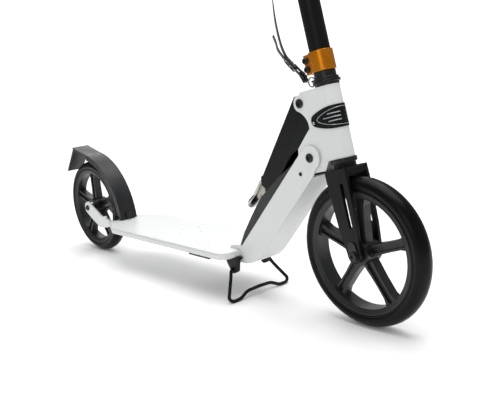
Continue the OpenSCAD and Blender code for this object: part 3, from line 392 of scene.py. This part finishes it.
# the width of each part's broken edges, in millimetres
EDGES = {
    "column_clamp": 0.7, "height_clamp": 0.7, "release_lever": 0.6,
    "upper_cup": 0.5, "lower_cup": 0.5, "headset_collar": 0.6, "stand_plate": 0.6, "stand_lugs": 0.6,
    "height_clamp_lever": 0.8, "tee": 0.8, "front_axle": 0.4, "rear_axle": 0.4,
    "fold_pin_caps": 0.4, "brace_pin_caps": 0.4, "liner_screws": 0.25, "clamp_bolts": 0.35,
    "axle_washers": 0.3, "fender_hinge_lugs": 0.4, "stand_bolts": 0.4, "lever_pin": 0.3,
}

for entry in frame["record"]["subparts"]:
    node = entry["node"]
    parts[node].data.materials.clear()
    parts[node].data.materials.append(FINISHES[entry["material_slot"]])
    if node in EDGES:
        soften(node, EDGES[node])
    else:
        smooth_by_angle(parts[node])


# ---------- tools for pieces ----------

STEER_AXIS = Vector(joints["steer"]["axis"]).normalized()
STEER_AHEAD = Vector((STEER_AXIS.z, 0, -STEER_AXIS.x))
# the steering axis beside the front axle; the joint lies 190 mm above it
STEER_FOOT = Vector(joints["steer"]["pos_m"]) - STEER_AXIS * 190 * MM


def on_column(ahead, left, up):
    """A point ahead of, left of and up the steering axis, given in millimetres."""
    return STEER_FOOT + (STEER_AHEAD * ahead + STEER_AXIS * up) * MM + Vector((0, left * MM, 0))


def set_out(name, mesh_or_curve, material, body, stands_for=()):
    """Puts a piece in the scene, in its finish and on its body."""
    piece = bpy.data.objects.new(name, mesh_or_curve)
    bpy.context.scene.collection.objects.link(piece)
    mesh_or_curve.materials.append(material)
    if piece.type == "MESH":
        for face in mesh_or_curve.polygons:
            face.use_smooth = True
    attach(piece, body)
    if stands_for:
        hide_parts(*stands_for)
    return piece


def from_bmesh(name, form):
    """A mesh from a finished form, with all its faces turned outward."""
    mesh = bpy.data.meshes.new(name)
    bmesh.ops.recalc_face_normals(form, faces=form.faces)
    form.to_mesh(mesh)
    form.free()
    return mesh


def lathe(name, at, axis, outline, turns):
    """Turns a closed outline of (radius, along) millimetres about an axis through a point."""
    axis = axis.normalized()
    first = axis.orthogonal().normalized()
    second = axis.cross(first)
    form = bmesh.new()
    rings = []
    for k in range(turns):
        angle = 2 * math.pi * k / turns
        out = first * math.cos(angle) + second * math.sin(angle)
        ring = []
        for radius, along in outline:
            ring.append(form.verts.new(at + (out * radius + axis * along) * MM))
        rings.append(ring)
    count = len(outline)
    for k in range(turns):
        here, there = rings[k], rings[(k + 1) % turns]
        for j in range(count):
            form.faces.new((here[j], here[(j + 1) % count], there[(j + 1) % count], there[j]))
    return from_bmesh(name, form)


def eased(points, reach, steps=6):
    """The same path with each corner bent round, starting and ending reach before and after it."""
    path = [Vector(points[0])]
    for before, here, after in zip(points, points[1:], points[2:]):
        before, here, after = Vector(before), Vector(here), Vector(after)
        room = min(reach, (before - here).length * 0.48, (after - here).length * 0.48)
        start = here + (before - here).normalized() * room
        end = here + (after - here).normalized() * room
        for k in range(steps + 1):
            t = k / steps
            path.append(start * (1 - t) ** 2 + here * 2 * t * (1 - t) + end * t ** 2)
    path.append(Vector(points[-1]))
    return path


def rod(name, path, radius_mm):
    """Round wire or bar along a path."""
    data = bpy.data.curves.new(name, "CURVE")
    data.dimensions = "3D"
    data.bevel_depth = radius_mm * MM
    data.bevel_resolution = 5
    data.use_fill_caps = True
    spline = data.splines.new("POLY")
    spline.points.add(len(path) - 1)
    for point, place in zip(spline.points, path):
        point.co = (*place, 1)
    spline.use_smooth = True
    return data


def ribbon(name, rails, thick_mm):
    """A flat strap along pairs of points, one on each edge, with its thickness and worn round edges."""
    form = bmesh.new()
    rows = []
    for k, (a, b) in enumerate(rails):
        before, after = rails[max(k - 1, 0)], rails[min(k + 1, len(rails) - 1)]
        along = ((after[0] + after[1]) - (before[0] + before[1])).normalized()
        across = (b - a).normalized()
        normal = along.cross(across).normalized()
        half = thick_mm * MM / 2
        rim = half * 0.8
        rows.append([form.verts.new(p) for p in (
            a, a + across * rim + normal * half,
            (a + b) / 2 + normal * half, b - across * rim + normal * half, b,
            b - across * rim - normal * half, (a + b) / 2 - normal * half, a + across * rim - normal * half,
        )])
    for here, there in zip(rows, rows[1:]):
        for j in range(8):
            form.faces.new((here[j], here[(j + 1) % 8], there[(j + 1) % 8], there[j]))
    form.faces.new(rows[0])
    form.faces.new(rows[-1])
    return from_bmesh(name, form)


def smooth_path(points, per_span=6):
    """A soft curve through every point."""
    path = []
    for k in range(len(points) - 1):
        a, b = Vector(points[k]), Vector(points[k + 1])
        before = Vector(points[k - 1]) if k else a
        after = Vector(points[k + 2]) if k + 2 < len(points) else b
        for j in range(per_span):
            t = j / per_span
            path.append(0.5 * ((2 * a) + (b - before) * t + (2 * before - 5 * a + 4 * b - after) * t ** 2
                               + (3 * a - before - 3 * b + after) * t ** 3))
    path.append(Vector(points[-1]))
    return path


# ---------- tyres ----------

def tyre_outline(radius, half, depth, bed):
    """A round solid tyre: smooth crown with its mould's parting line, and a fine rib on each side."""
    round_r = half + 1.5
    middle = radius - round_r
    side = math.asin(half / round_r)
    crown = []
    for k in range(49):
        angle = -side + 2 * side * k / 48
        lift = 0.0 if k != 24 else 0.22
        crown.append((middle + (round_r - 0.25) * math.cos(angle) + lift, round_r * math.sin(angle)))
    low = radius - depth
    rim_side = [(low, -half), (low + 2.2, -half), (low + 2.6, -half + 0.6), (low + 3.6, -half + 0.6),
                (low + 4.0, -half)]
    other = [(r, -y) for r, y in reversed(rim_side)]
    return rim_side + crown + other + [(low, bed), (low + 3, bed), (low + 3, -bed), (low, -bed)]


def make_tyres():
    """Both tyres: radius, half width, depth and half width of the bed, in millimetres."""
    for wheel, radius, half, depth, bed in (("front", 115, 16, 21, 11), ("rear", 102.5, 14, 19, 9.5)):
        name, node = wheel + "_tyre_cast", wheel + "_tyre"
        outline = tyre_outline(radius, half, depth, bed)
        mesh = lathe(name, centre(node), Vector((0, 1, 0)), outline, 180)
        set_out(name, mesh, TYRE, wheel + "_wheel", [node])


# ---------- stand ----------

def make_stand():
    """One bent wire: two legs on their lugs, two feet and a raised cross bar."""
    hinge = Vector(joints["stand_fold"]["pos_m"]) / MM
    x, z = hinge.x, hinge.z
    half = [(x, 30, z), (x, 45, z), (x + 3, 49, z - 10), (x + 18, 70, 9), (x + 20, 64, 3),
            (x + 20, 46, 3), (x + 18, 28, 12), (x + 18, 0, 13)]
    points = half + [(a, -b, c) for a, b, c in reversed(half[:-1])]
    path = eased([Vector(p) * MM for p in points], 7 * MM)
    set_out("stand_wire", rod("stand_wire", path, 3), BLACK, "kickstand", ["kickstand"])


# ---------- springs ----------

def coil(at, radius, start, length, turns, tail):
    """A helix about a hinge running left, with a straight tail, in millimetres from its centre."""
    path = []
    for k in range(int(turns * 24) + 1):
        angle = 2 * math.pi * k / 24
        along = start + length * k / (turns * 24)
        path.append(at + Vector((radius * math.cos(angle), along, radius * math.sin(angle))) * MM)
    path.append(path[-1] + Vector(tail) * MM)
    return path


def make_springs():
    """Two springs of thin wire, each coiled round the hinge that it returns."""
    # piece, hinge, body, part it stands for, radius of the wire, shape of the coil
    springs = (
        ("fender_return_spring", "fender_brake", "frame", "fender_spring", 0.45,
         (3.7, 6.9, 3.6, 4, (0, 0, -5))),
        ("lever_return_spring", "release_press", "brace", "lever_spring", 0.4,
         (4.9, 3.5, 1.5, 2, (4, 0, 3))),
    )
    for name, hinge, body, node, wire_r, shape in springs:
        path = coil(Vector(joints[hinge]["pos_m"]), *shape)
        set_out(name, rod(name, path, wire_r), ZINC, body, [node])


# ---------- foot pedal ----------

def make_pedal():
    """A cast paddle, thick and rounded like a pebble, on the end of the release lever."""
    pin = Vector(joints["release_press"]["pos_m"])
    down, out = Vector((-0.588, 0, -0.809)), Vector((-0.809, 0, 0.588))
    # reach from the lever's pin, half width and half thickness, in millimetres
    stations = [(38.4, 7, 2.4), (39, 8.5, 3.2), (42, 10.6, 3.8), (46, 13.4, 4.7), (52, 15.4, 5.3),
                (58, 15.6, 5.4), (63, 13.8, 5.0), (66.5, 10.8, 4.2), (69, 6.8, 3.0), (70, 2.8, 1.5)]
    sides = 32
    form = bmesh.new()
    rings = []
    for reach, half, thick in stations:
        ring = []
        for k in range(sides):
            turn = 2 * math.pi * k / sides
            left = half * math.copysign(abs(math.cos(turn)) ** 0.8, math.cos(turn))
            rise = 4 + thick * math.copysign(abs(math.sin(turn)) ** 0.8, math.sin(turn))
            ring.append(form.verts.new(pin + (down * reach + out * rise + Vector((0, left, 0))) * MM))
        rings.append(ring)
    for here, there in zip(rings, rings[1:]):
        for j in range(sides):
            form.faces.new((here[j], here[(j + 1) % sides], there[(j + 1) % sides], there[j]))
    form.faces.new(rings[0])
    form.faces.new(rings[-1])
    pedal = set_out("pedal_casting", from_bmesh("pedal_casting", form), POLISHED, "release_lever",
                    ["foot_pedal"])
    pedal.modifiers.new("cast_smooth", "SUBSURF").render_levels = 2


# ---------- grips ----------

def make_grips():
    """Moulded rubber grips: a flange, rings of soft ribs, and an open rounded end."""
    low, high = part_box("grip_left")
    y_in, y_out = low.y / MM, high.y / MM
    at = Vector(((low.x + high.x) / 2, 0, (low.z + high.z) / 2))
    outline = [(11.1, y_in), (20, y_in), (20.4, y_in + 0.8), (20.4, y_in + 3), (19.6, y_in + 3.8),
               (16.4, y_in + 4.6)]
    rib_count = 22
    reach = y_out - y_in - 14
    for k in range(rib_count):
        start = y_in + 7 + reach * k / rib_count
        step = reach / rib_count
        for t, r in ((0, 15.0), (0.3, 15.9), (0.55, 16.0), (0.8, 15.6)):
            outline.append((r, start + step * t))
    outline += [(15.6, y_out - 5), (15.2, y_out - 2), (13.6, y_out - 0.3), (11, y_out), (9.3, y_out),
                (9.3, y_out - 3), (11.1, y_out - 3)]
    for node, side in (("grip_left", 1), ("grip_right", -1)):
        name = node + "_rubber"
        mesh = lathe(name, at, Vector((0, side, 0)), outline, 96)
        set_out(name, mesh, RUBBER, "bar", [node])


# ---------- carry strap ----------

# the strap's line behind and up the steering axis, in millimetres
STRAP = [(-55, 290), (-64, 301), (-71, 313), (-76, 328), (-78, 346), (-78, 370), (-75, 395),
         (-70, 420), (-64, 445), (-57, 468), (-49, 488), (-41, 504), (-34, 514)]


def beside(line, out_mm):
    """The same line of the strap, moved out to its rear by some millimetres."""
    moved = []
    for k, p in enumerate(line):
        along = (line[min(k + 1, len(line) - 1)] - line[max(k - 1, 0)]).normalized()
        moved.append(p + Vector((-along.z, 0, along.x)) * out_mm)
    return moved


# how far the hanging strap has turned about its own length, in degrees
STRAP_TURN = 52


def across_strap(p, half_mm, turn=STRAP_TURN):
    """The two edges of the strap, or the two ends of a bar across it, at a point of its line."""
    back, left = math.sin(math.radians(turn)) * half_mm, math.cos(math.radians(turn)) * half_mm
    return on_column(p.x + back, -left, p.z), on_column(p.x - back, left, p.z)


def web(name, line, half_mm, thick_mm, last_turn=STRAP_TURN):
    """Webbing along a line, easing from the strap's turn to its last turn over its upper part."""
    rails = []
    for k, p in enumerate(line):
        eased_k = max(0, (k / (len(line) - 1) - 0.4) / 0.6) ** 1.5
        rails.append(across_strap(p, half_mm, STRAP_TURN + (last_turn - STRAP_TURN) * eased_k))
    return ribbon(name, rails, thick_mm)


def make_strap():
    """Nylon webbing 20 mm wide, doubled back on itself through a slider near its lower hook."""
    line = smooth_path([(s, 0, h) for s, h in STRAP])
    set_out("strap_webbing", web("strap_webbing", line, 10, 1.6, 0), WEBBING, "steering",
            ["carry_strap"])
    # the end of the strap comes back up through the slider and stands a little off
    back = smooth_path([(-60, 0, 292), (-68, 0, 302), (-78, 0, 315), (-86, 0, 329), (-87, 0, 340),
                        (-90, 0, 352)])
    set_out("strap_free_end", web("strap_free_end", back, 9.6, 1.5), WEBBING, "steering")
    # the loop round the hook's bar, two layers side by side
    loop = [Vector((-40.5, 0, 272)), Vector((-45, 0, 278)), Vector((-52, 0, 286)), Vector((-60, 0, 296))]
    for name, out_mm in (("strap_loop_front", -3.3), ("strap_loop_back", 2.4)):
        set_out(name, web(name, beside(loop, out_mm), 8, 1.4), WEBBING, "steering")
    make_slider()


def make_slider():
    """A moulded three-bar slider: a flat frame with two rounded long bars and a thicker middle one."""
    low, high = Vector((-57.5, 0, 291.5)), Vector((-70.5, 0, 309))
    set_back = Vector((1.5, 0, 0))
    for k, (place, bar_r) in enumerate(((0.0, 3.0), (0.5, 3.4), (1.0, 3.0))):
        name = "slider_bar_%d" % (k + 1)
        ends = across_strap(low.lerp(high, place) - set_back, 12.4)
        set_out(name, rod(name, ends, bar_r), NYLON, "steering", ["strap_slider"])
    for side, name in enumerate(("slider_side_near", "slider_side_far")):
        ends = [across_strap(p - set_back, 12)[side] for p in (low, high)]
        set_out(name, rod(name, ends, 3.0), NYLON, "steering")


# ---------- badge ----------

# the badge's round front, in millimetres and radians, and how far its middle is up the steering axis
BADGE_R = 19.3
BADGE_BEND = 1.42
BADGE_UP = 205.6
# half the border's length round the badge, and half its height
BORDER_REACH = 46
BORDER_RISE = 13


def badge_point(around, up):
    """A point on the badge, by its distance in millimetres round from the front and above its middle."""
    turn = math.copysign(min(abs(around) / BADGE_R, BADGE_BEND), around)
    # past the bend the flank runs straight back, leaning a little outward
    flat = max(abs(around) - BADGE_BEND * BADGE_R, 0)
    lean = math.radians(8.7)
    ahead = BADGE_R * math.cos(turn) - flat * math.cos(lean)
    left = BADGE_R * math.sin(turn) + math.copysign(flat * math.sin(lean), around)
    return on_column(ahead, left, BADGE_UP + up)


def make_badge():
    """A plain raised border and three short bars, pressed in the badge and left bright."""
    for sign, name in ((1, "badge_border_upper"), (-1, "badge_border_lower")):
        path = []
        for k in range(61):
            around = -BORDER_REACH + 2 * BORDER_REACH * k / 60
            rise = max(math.cos(around / BORDER_REACH * math.pi / 2), 0) ** 0.6
            path.append(badge_point(around, sign * BORDER_RISE * rise))
        set_out(name, rod(name, path, 0.5), ZINC, "head")
    for k, (up, near, far) in enumerate(((5.5, 6, 26), (0.0, 6, 34), (-5.5, 6, 26))):
        for side in (-1, 1):
            name = "badge_bar_%d_%s" % (k + 1, "left" if side > 0 else "right")
            path = [badge_point(side * (near + (far - near) * j / 12), up) for j in range(13)]
            set_out(name, rod(name, path, 0.8), ZINC, "head")


# ---------- floor ----------

FLOOR_RADIUS = 1.75


def make_floor():
    """A round board under the scooter, wide enough for its shadow."""
    mesh = bpy.data.meshes.new("floor")
    form = bmesh.new()
    bmesh.ops.create_circle(form, cap_ends=True, radius=FLOOR_RADIUS, segments=96)
    form.to_mesh(mesh)
    form.free()
    floor = bpy.data.objects.new("floor", mesh)
    bpy.context.scene.collection.objects.link(floor)
    mesh.materials.append(studio_floor())


make_camera()
make_tyres()
make_stand()
make_springs()
make_pedal()
make_grips()
make_strap()
make_badge()
make_studio()
make_floor()
